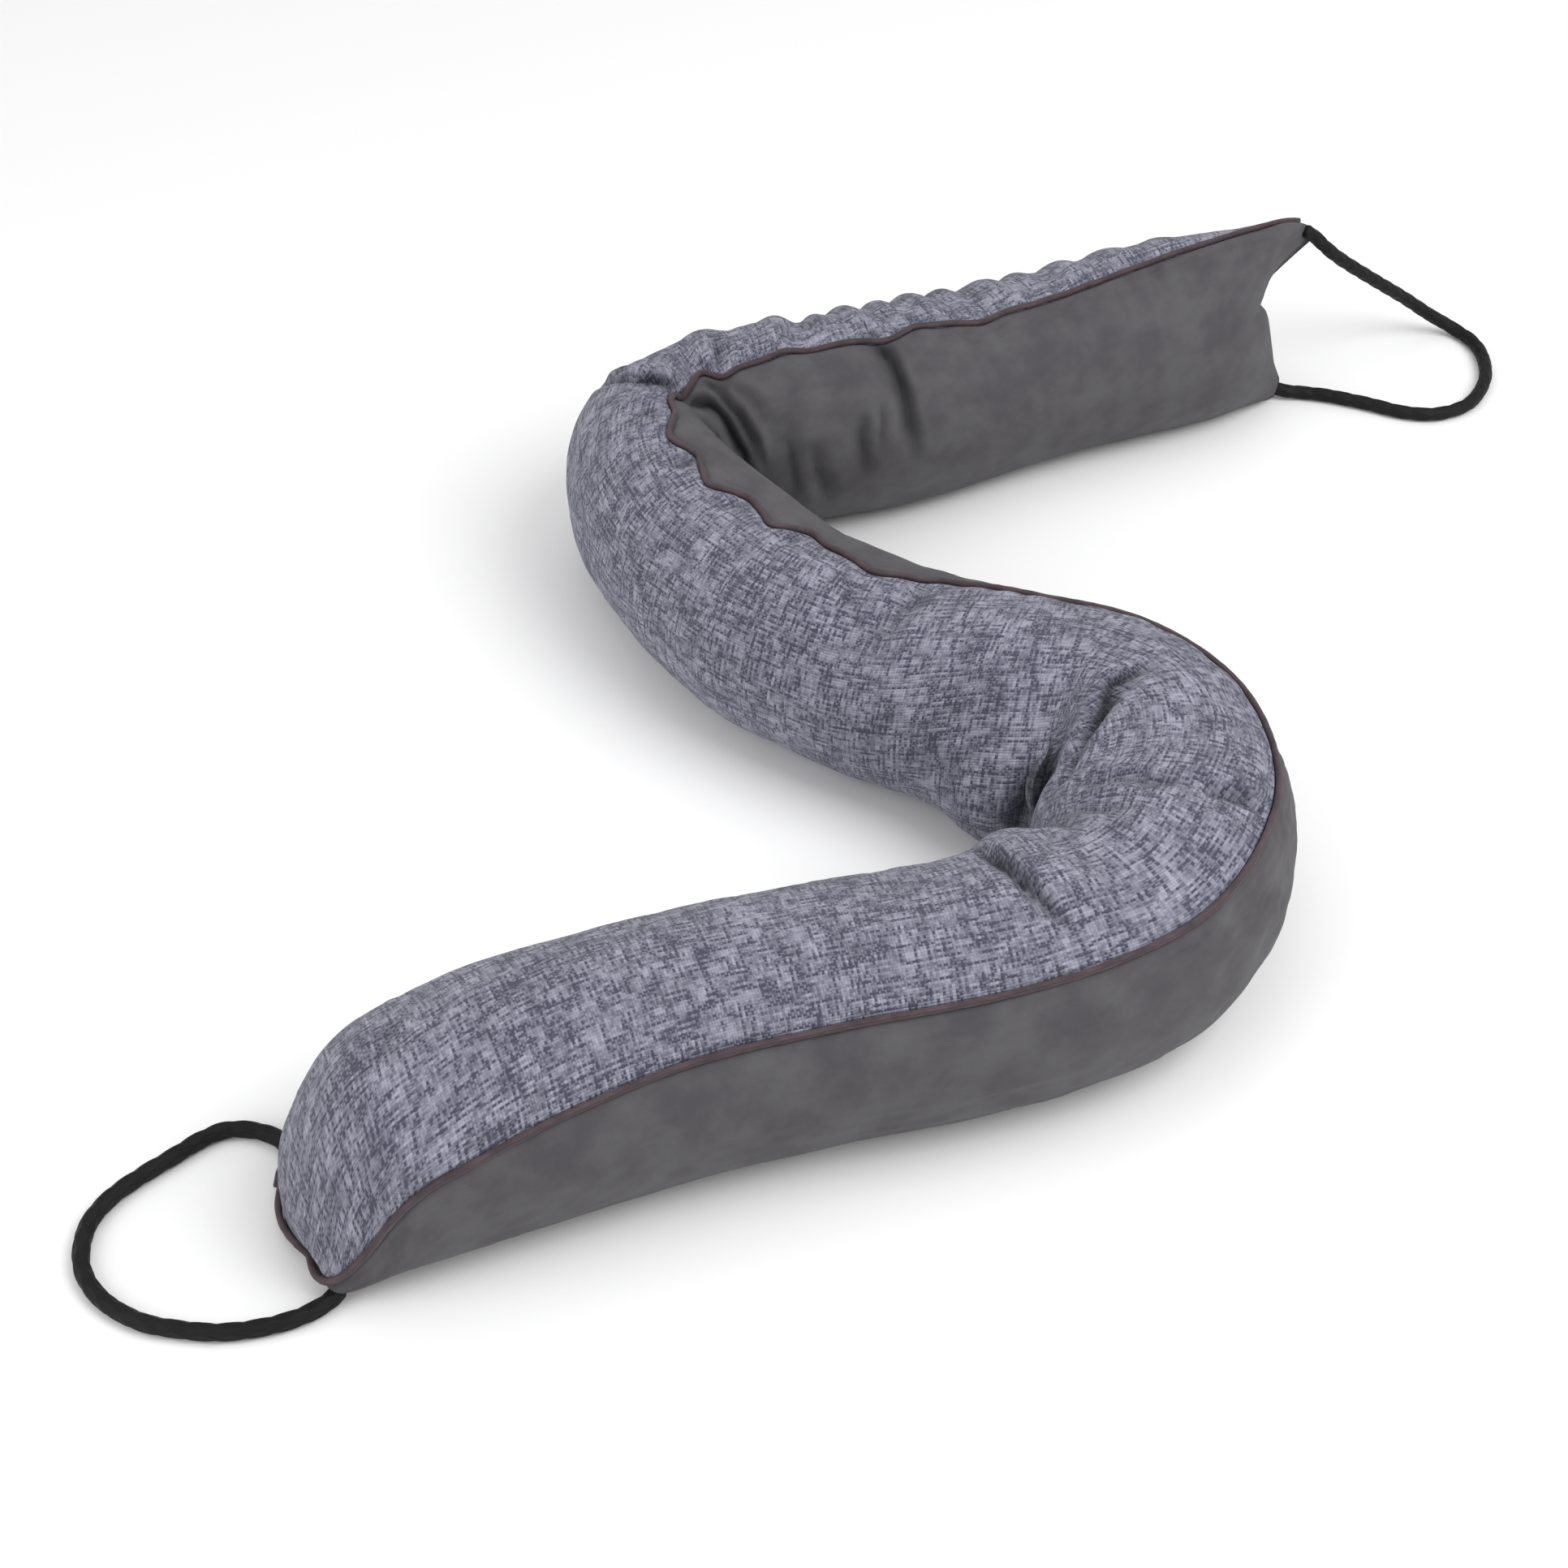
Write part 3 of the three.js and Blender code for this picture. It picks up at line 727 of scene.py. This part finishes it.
rightLoop = [
    (200, 261.5, 72.5), (205, 262.5, 68.5), (210, 263, 63.5), (215.5, 264.6, 58), (223, 268, 51),
    (238, 275, 38), (255, 284, 23), (269, 289, 11), (281, 288, 4), (289, 277, 3.1), (291, 262, 3.1),
    (288, 245, 3.1), (278, 228, 3.1), (263, 220, 3.1), (248, 221, 3.1), (232, 228, 3.1), (216, 234, 3.1),
    (204, 236.5, 3.2), (196, 236.8, 4), (188, 238, 6),
]


def loopLine(route, step):
    # a smooth line through the route's points, at an even step
    points = np.array(route, float)
    padded = np.vstack([2 * points[0] - points[1], points, 2 * points[-1] - points[-2]])
    fine = []
    for k in range(1, len(padded) - 2):
        u = np.linspace(0, 1, elastic["finer"], endpoint=False)[:, None]
        a, b, c, d = padded[k - 1 : k + 3]
        square = a - 2.5 * b + 2 * c - d / 2
        cube = 1.5 * (b - c) + (d - a) / 2
        fine.append(b + (c - a) / 2 * u + square * u**2 + cube * u**3)
    fine = np.vstack(fine + [points[-1:]])
    run = distanceAlong(fine)
    even = np.linspace(0, run[-1], round(run[-1] / step) + 1)
    return np.stack([np.interp(even, run, fine[:, i]) for i in range(3)], 1), even


def makeElastic(name, route):
    # a round braid: two sets of strands that cross over and under, in relief
    middle, run = loopLine(route, elastic["step"])
    tangent = unit(np.gradient(middle, axis=0))
    side = unit(np.cross(tangent, (0, 0, 1.0)))
    turn = turnsRound(elastic["sides"])
    climb = run[:, None] * 2 * math.pi / elastic["lay"]
    one = np.cos(elastic["strands"] / 2 * turn + climb)
    other = np.cos(elastic["strands"] / 2 * turn - climb)
    relief = elastic["relief"] * (np.maximum(one, other) - 1)
    fromEnd = np.minimum(1, np.minimum(run, run[-1] - run) / elastic["rounded"])[:, None]
    swell = elastic["endRadius"] + (1 - elastic["endRadius"]) * np.sqrt(fromEnd)
    radius = (elastic["diameter"] / 2 + relief) * swell
    loop = sweep(name, middle, side, np.cross(side, tangent), radius, run, turn, False)
    return loop, middle, run[-1]


# Materials. A tree's nodes are added by these helpers.
def addNode(tree, kind, **settings):
    node = tree.nodes.new(kind)
    for name, value in settings.items():
        setattr(node, name, value)
    return node


def feed(tree, socket, value):
    # a number or a colour is set on the socket, and another node's output is linked to it
    if isinstance(value, bpy.types.NodeSocket):
        tree.links.new(value, socket)
    else:
        socket.default_value = value


def maths(tree, operation, *values, clamp=False):
    node = addNode(tree, "ShaderNodeMath", operation=operation, use_clamp=clamp)
    for socket, value in zip(node.inputs, values):
        feed(tree, socket, value)
    return node.outputs[0]


def mixColour(tree, factor, a, b, blend="MIX"):
    node = addNode(tree, "ShaderNodeMix", data_type="RGBA", blend_type=blend)
    feed(tree, node.inputs["Factor"], factor)
    feed(tree, node.inputs[6], a)
    feed(tree, node.inputs[7], b)
    return node.outputs[2]


def ranged(tree, value, low, high, toLow=0.0, toHigh=1.0):
    node = addNode(tree, "ShaderNodeMapRange", interpolation_type="SMOOTHSTEP")
    for name, number in (("From Min", low), ("From Max", high), ("To Min", toLow), ("To Max", toHigh)):
        node.inputs[name].default_value = number
    feed(tree, node.inputs["Value"], value)
    return node.outputs["Result"]


def noise(tree, place, scale, detail=2.0, roughness=0.5):
    node = addNode(tree, "ShaderNodeTexNoise", noise_dimensions="3D")
    feed(tree, node.inputs["Vector"], place)
    feed(tree, node.inputs["Scale"], scale)
    node.inputs["Detail"].default_value = detail
    node.inputs["Roughness"].default_value = roughness
    return node.outputs["Fac"]


def vector(tree, x, y, z):
    node = addNode(tree, "ShaderNodeCombineXYZ")
    for socket, value in zip(node.inputs, (x, y, z)):
        feed(tree, socket, value)
    return node.outputs[0]


def newGroup(name, inputs, outputs):
    # inputs: label, kind and default; outputs: label and kind
    group = bpy.data.node_groups.new(name, "ShaderNodeTree")
    for label, kind, value in inputs:
        socket = group.interface.new_socket(label, in_out="INPUT", socket_type="NodeSocket" + kind)
        if value is not None:
            socket.default_value = value
    for label, kind in outputs:
        group.interface.new_socket(label, in_out="OUTPUT", socket_type="NodeSocket" + kind)
    return group, addNode(group, "NodeGroupInput"), addNode(group, "NodeGroupOutput")


threadShape = {
    "wanders": (60.0, 47.0),  # noise scales by which the warp's and the weft's lines wander
    "reach": 6.0,  # of a line, in threads, at a Wander of 1
    "round": 0.6,  # of a thread's height, from its own roundness
    "over": 0.4,  # of it, from passing over and under
    "edge": 4.0,  # how sharply one thread ends at the other
    "rowSteps": (17.3, 13.7),  # between the places of neighbouring threads in the yarn's noise
    "weftLevel": 40.0,  # in that noise
}


def makeWeaveGroup():
    # plain weave on the cloth laid flat: heights of the threads, which one is on top, and a place on each
    group, given, out = newGroup(
        "plain weave",
        [("Cloth", "Vector", None), ("Pitch mm", "Float", 1.0), ("Wander", "Float", 0.4)],
        [
            ("Height", "Float"),
            ("Warp On Top", "Float"),
            ("Warp Place", "Vector"),
            ("Weft Place", "Vector"),
        ],
    )
    pitch = given.outputs["Pitch mm"]
    threads = addNode(group, "ShaderNodeVectorMath", operation="SCALE")
    feed(group, threads.inputs[0], given.outputs["Cloth"])
    feed(group, threads.inputs["Scale"], maths(group, "DIVIDE", 1 / mm, pitch))
    parted = addNode(group, "ShaderNodeSeparateXYZ")
    feed(group, parted.inputs[0], threads.outputs[0])
    reach = maths(group, "MULTIPLY", given.outputs["Wander"], threadShape["reach"])
    lines = []
    waves = []
    for scale, straight in zip(threadShape["wanders"], parted.outputs):
        bend = maths(group, "SUBTRACT", noise(group, given.outputs["Cloth"], scale), 0.5)
        lines.append(maths(group, "MULTIPLY_ADD", bend, reach, straight))
        waves.append(maths(group, "SINE", maths(group, "MULTIPLY", lines[-1], math.pi)))
    crossing = maths(group, "MULTIPLY", *waves)
    heights = []
    for wave, over in ((waves[1], threadShape["over"]), (waves[0], -threadShape["over"])):
        crossed = maths(group, "MULTIPLY", crossing, over)
        own = maths(group, "ABSOLUTE", wave)
        heights.append(maths(group, "MULTIPLY_ADD", own, threadShape["round"], crossed))
    feed(group, out.inputs["Height"], maths(group, "MAXIMUM", *heights))
    lead = maths(group, "SUBTRACT", *heights)
    onTop = maths(group, "MULTIPLY_ADD", lead, threadShape["edge"], 0.5, clamp=True)
    feed(group, out.inputs["Warp On Top"], onTop)
    x, y = lines
    warpStep, weftStep = threadShape["rowSteps"]
    for name, run, beside, step, level in (
        ("Warp Place", x, y, warpStep, 0.0),
        ("Weft Place", y, x, weftStep, threadShape["weftLevel"]),
    ):
        row = maths(group, "MULTIPLY", maths(group, "FLOOR", beside), step)
        feed(group, out.inputs[name], vector(group, maths(group, "MULTIPLY", run, pitch), row, level))
    return group


def makeYarnGroup():
    # dark stretches along each thread of a slubbed yarn, as a mask; more of them where Bias is high
    group, given, out = newGroup(
        "slubbed yarn",
        [
            ("Place", "Vector", None),
            ("Streak mm", "Float", 9.0),
            ("Bias", "Float", 0.0),
            ("Soft", "Float", 0.08),
        ],
        [("Dark", "Float")],
    )
    squeeze = addNode(group, "ShaderNodeVectorMath", operation="MULTIPLY")
    feed(group, squeeze.inputs[0], given.outputs["Place"])
    shorter = maths(group, "DIVIDE", 1.0, given.outputs["Streak mm"])
    feed(group, squeeze.inputs[1], vector(group, shorter, 1.0, 1.0))
    streak = noise(group, squeeze.outputs[0], 1.0, roughness=0.55)
    level = maths(group, "ADD", streak, given.outputs["Bias"])
    low = maths(group, "SUBTRACT", 0.5, given.outputs["Soft"])
    span = maths(group, "MULTIPLY", given.outputs["Soft"], 2.0)
    above = maths(group, "SUBTRACT", level, low)
    feed(group, out.inputs["Dark"], maths(group, "DIVIDE", above, span, clamp=True))
    return group


def makeShadeGroup():
    # a colour darkened by a shade, and in the creases by the light they lack, down to Least where deepest
    group, given, out = newGroup(
        "shaded cloth",
        [
            ("Colour", "Color", None),
            ("Shade", "Float", 1.0),
            ("Hidden", "Float", 0.0),
            ("Least", "Float", 0.3),
        ],
        [("Colour", "Color")],
    )
    less = maths(group, "SUBTRACT", given.outputs["Least"], 1.0)
    light = maths(group, "MULTIPLY_ADD", given.outputs["Hidden"], less, 1.0)
    shade = maths(group, "MULTIPLY", given.outputs["Shade"], light)
    grey = addNode(group, "ShaderNodeCombineColor")
    for socket in grey.inputs:
        feed(group, socket, shade)
    shaded = mixColour(group, 1.0, given.outputs["Colour"], grey.outputs[0], "MULTIPLY")
    feed(group, out.inputs["Colour"], shaded)
    return group


weaveGroup = makeWeaveGroup()
yarnGroup = makeYarnGroup()
shadeGroup = makeShadeGroup()
patchRange = (0.3, 0.7)  # of a noise, from one of two colours to the other


def newMaterial(name):
    material = bpy.data.materials.new(name)
    material.use_nodes = True
    tree = material.node_tree
    return material, tree, tree.nodes["Principled BSDF"]


def placeGroup(tree, group, **values):
    node = addNode(tree, "ShaderNodeGroup", node_tree=group)
    for name, value in values.items():
        feed(tree, node.inputs[name.replace("_", " ")], value)
    return node


def dress(tree, shader, look, colour, height):
    # the colour, surface and relief of a material
    feed(tree, shader.inputs["Base Color"], colour)
    for name, value in look["surface"].items():
        shader.inputs[name].default_value = value
    bump = addNode(tree, "ShaderNodeBump")
    bump.inputs["Strength"].default_value = 1.0
    bump.inputs["Distance"].default_value = look["relief"]
    feed(tree, bump.inputs["Height"], height)
    feed(tree, shader.inputs["Normal"], bump.outputs["Normal"])


def laidFlat(tree):
    return addNode(tree, "ShaderNodeUVMap", uv_map="Cloth").outputs[0]


def laidFlatRound(tree, look):
    # the cover of a cord laid flat, in metres, and turned by its slant
    flat = addNode(tree, "ShaderNodeMapping")
    flat.inputs["Scale"].default_value = (1, look["girth"], 1)
    flat.inputs["Rotation"].default_value = (0, 0, math.radians(look["slant"]))
    feed(tree, flat.inputs["Vector"], laidFlat(tree))
    return flat.outputs[0]


def hiddenFromLight(tree):
    return addNode(tree, "ShaderNodeAttribute", attribute_name="Hidden").outputs["Fac"]


tweed = {
    "light": (0.36, 0.36, 0.445, 1),
    "middle": (0.26, 0.26, 0.325, 1),
    "dark": (0.055, 0.055, 0.09, 1),
    "pitch": 1.02,  # mm between threads
    "wander": 0.15,
    "streaks": (10.0, 8.0),  # mm, along the warp and the weft
    "soft": 0.085,
    "bias": -0.01,
    "uneven": 0.10,  # how much the clouds and the drift each move the bias
    "clouds": 95.0,
    "drift": 24.0,
    "under": 0.55,  # of a streak, where the other thread is on top
    "fibre": 2600.0,
    "fibreShade": (0.2, 0.8, 0.85, 1.12),  # noise from and to, shade from and to
    "fibreHeight": 0.25,
    "paintedGrooveShade": (0.0, 0.7, 0.8, 1.0),  # height from and to, painted shade in the grooves between the threads from and to
    "inCreases": 0.2,
    "surface": {"Roughness": 0.92, "Sheen Weight": 0.1, "Sheen Roughness": 0.5},
    "relief": 0.0003,  # m
}


def makeTweed():
    material, tree, shader = newMaterial("patterned_cloth")
    flatCloth = laidFlat(tree)
    weave = placeGroup(tree, weaveGroup, Cloth=flatCloth, Pitch_mm=tweed["pitch"], Wander=tweed["wander"])
    clouds = noise(tree, flatCloth, tweed["clouds"], detail=3.0, roughness=0.6)
    drift = noise(tree, flatCloth, tweed["drift"], detail=1.0)
    bias = maths(tree, "MULTIPLY_ADD", maths(tree, "SUBTRACT", clouds, 0.5), tweed["uneven"], tweed["bias"])
    bias = maths(tree, "MULTIPLY_ADD", maths(tree, "SUBTRACT", drift, 0.5), tweed["uneven"], bias)
    onTop = weave.outputs["Warp On Top"]
    dark = []
    ways = (onTop, maths(tree, "SUBTRACT", 1.0, onTop))
    for thread, streak, above in zip(("Warp", "Weft"), tweed["streaks"], ways):
        place = weave.outputs[thread + " Place"]
        yarn = placeGroup(tree, yarnGroup, Place=place, Streak_mm=streak, Bias=bias, Soft=tweed["soft"])
        shows = maths(tree, "MULTIPLY_ADD", above, 1 - tweed["under"], tweed["under"])
        dark.append(maths(tree, "MULTIPLY", yarn.outputs["Dark"], shows))
    ground = mixColour(tree, ranged(tree, clouds, *patchRange), tweed["light"], tweed["middle"])
    colour = mixColour(tree, maths(tree, "MAXIMUM", *dark), ground, tweed["dark"])
    fibre = noise(tree, flatCloth, tweed["fibre"], roughness=0.7)
    # painted shade in the grooves between the threads, times a random tone of the fibres
    paintedGrooveShade = ranged(tree, weave.outputs["Height"], *tweed["paintedGrooveShade"])
    shade = maths(tree, "MULTIPLY", paintedGrooveShade, ranged(tree, fibre, *tweed["fibreShade"]))
    shaded = placeGroup(
        tree, shadeGroup, Colour=colour, Shade=shade, Hidden=hiddenFromLight(tree), Least=tweed["inCreases"]
    )
    height = maths(tree, "MULTIPLY_ADD", fibre, tweed["fibreHeight"], weave.outputs["Height"])
    dress(tree, shader, tweed, shaded.outputs["Colour"], height)
    return material


charcoal = {
    "colour": (0.060, 0.056, 0.064, 1),
    "worn": (0.090, 0.087, 0.095, 1),
    "patches": 45.0,
    "pitch": 0.42,
    "wander": 0.3,
    "streak": 14.0,
    "soft": 0.4,
    "streaked": -0.10,
    "paintedGrooveShade": (0.0, 0.7, 0.82, 1.05),  # height from and to, painted shade in the grooves between the threads from and to
    "inCreases": 0.35,
    "surface": {"Roughness": 0.82, "Sheen Weight": 0.05},
    "relief": 0.00008,  # m
}


def makeCharcoal():
    material, tree, shader = newMaterial("plain_cloth")
    flatCloth = laidFlat(tree)
    weave = placeGroup(
        tree, weaveGroup, Cloth=flatCloth, Pitch_mm=charcoal["pitch"], Wander=charcoal["wander"]
    )
    place = weave.outputs["Warp Place"]
    warp = placeGroup(tree, yarnGroup, Place=place, Streak_mm=charcoal["streak"], Soft=charcoal["soft"])
    patches = noise(tree, flatCloth, charcoal["patches"], detail=3.0, roughness=0.6)
    colour = mixColour(tree, ranged(tree, patches, *patchRange), charcoal["colour"], charcoal["worn"])
    # fine: the warp's streaks, times painted shade in the grooves between the threads
    fine = maths(tree, "MULTIPLY_ADD", warp.outputs["Dark"], charcoal["streaked"], 1.0)
    fine = maths(tree, "MULTIPLY", fine, ranged(tree, weave.outputs["Height"], *charcoal["paintedGrooveShade"]))
    shaded = placeGroup(
        tree, shadeGroup, Colour=colour, Shade=fine, Hidden=hiddenFromLight(tree), Least=charcoal["inCreases"]
    )
    dress(tree, shader, charcoal, shaded.outputs["Colour"], weave.outputs["Height"])
    return material


pipingCloth = {
    "colour": (0.036, 0.021, 0.026, 1),
    "worn": (0.075, 0.045, 0.053, 1),
    "patches": 110.0,
    "girth": 0.0088,  # m
    "slant": 38,
    "pitch": 0.5,
    "wander": 0.2,
    "surface": {"Roughness": 0.7, "Sheen Weight": 0.1},
    "relief": 0.0001,  # m
}


def makePipingCloth():
    look = pipingCloth
    material, tree, shader = newMaterial("piping")
    flat = laidFlatRound(tree, look)
    weave = placeGroup(tree, weaveGroup, Cloth=flat, Pitch_mm=look["pitch"], Wander=look["wander"])
    patches = noise(tree, flat, look["patches"], detail=3.0, roughness=0.6)
    colour = mixColour(tree, ranged(tree, patches, *patchRange), look["colour"], look["worn"])
    dress(tree, shader, look, colour, weave.outputs["Height"])
    return material


elasticCover = {
    "colour": (0.0035, 0.003, 0.003, 1),
    "worn": (0.007, 0.006, 0.006, 1),
    "patches": 80.0,
    "girth": 0.0188,  # m
    "slant": 0,
    "fibre": 900.0,
    "surface": {"Roughness": 0.62, "Specular IOR Level": 0.25},
    "relief": 0.00012,  # m
}


def makeElasticCover():
    look = elasticCover
    material, tree, shader = newMaterial("elastic")
    flat = laidFlatRound(tree, look)
    fibre = noise(tree, flat, look["fibre"], detail=3.0, roughness=0.7)
    patches = noise(tree, flat, look["patches"])
    colour = mixColour(tree, ranged(tree, patches, *patchRange), look["colour"], look["worn"])
    dress(tree, shader, look, colour, fibre)
    return material


# The camera, matched to the photograph; metres.
view = {"place": (-0.0303, -0.8313, 0.7323), "tilt": 47.8, "lens": 65}
camera = intoScene("Camera", bpy.data.cameras.new("Camera"))
camera.location = view["place"]
camera.rotation_euler = (math.radians(view["tilt"]), 0, 0)
camera.data.lens = view["lens"]
bpy.context.scene.camera = camera

elasticMaterial = makeElasticCover()
for name, route, node in (("leftElastic", leftLoop, "left_loop"), ("rightElastic", rightLoop, "right_loop")):
    loop, middle, length = makeElastic(name, route)
    loop.data.materials.append(elasticMaterial)
    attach(loop, "root")
    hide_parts(node)
print("elastic loops made")

cover = makePanel("patternedCover", 1)
cover.data.materials.append(makeTweed())
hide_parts("patterned_panel")
plain = makePanel("plainCover", -1)
plain.data.materials.append(makeCharcoal())
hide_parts("plain_panel")
for panel in (cover, plain):
    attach(panel, "root")
print("panels made")

trim = makePiping()
trim.data.materials.append(makePipingCloth())
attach(trim, "root")
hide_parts("seam_piping")
print("piping made")


studio = {
    "far": 6.0,  # m, from the middle of the floor to its sides
    "floor": {"Base Color": (0.9, 0.9, 0.9, 1), "Roughness": 0.9, "Specular IOR Level": 0.1},
    "sky": (1, 1, 1, 1),
    "skyStrength": 0.65,
    "lights": (  # name, place and size in m, power in W
        ("key", (1.0, -0.45, 1.4), 1.2, 19),
        ("top", (-0.2, 0.5, 1.9), 1.4, 4),
        ("fill", (-1.2, -0.8, 0.8), 1.2, 8),
    ),
}


def makeStudio():
    scene = bpy.context.scene
    mesh = bpy.data.meshes.new("floor")
    far = studio["far"]
    mesh.from_pydata([(-far, -far, 0), (far, -far, 0), (far, far, 0), (-far, far, 0)], [], [(0, 1, 2, 3)])
    floor = intoScene("floor", mesh)
    material, _, shader = newMaterial("pale floor")
    for name, value in studio["floor"].items():
        shader.inputs[name].default_value = value
    mesh.materials.append(material)
    world = bpy.data.worlds.new("studio")
    world.use_nodes = True
    sky = world.node_tree.nodes["Background"]
    sky.inputs["Color"].default_value = studio["sky"]
    sky.inputs["Strength"].default_value = studio["skyStrength"]
    scene.world = world
    for name, place, size, power in studio["lights"]:
        light = bpy.data.lights.new(name, "AREA")
        light.size = size
        light.energy = power
        lamp = intoScene(name, light)
        lamp.location = place
        lamp.rotation_euler = Vector(place).to_track_quat("Z", "Y").to_euler()
    scene.view_settings.view_transform = "Standard"


makeStudio()
print("studio made")
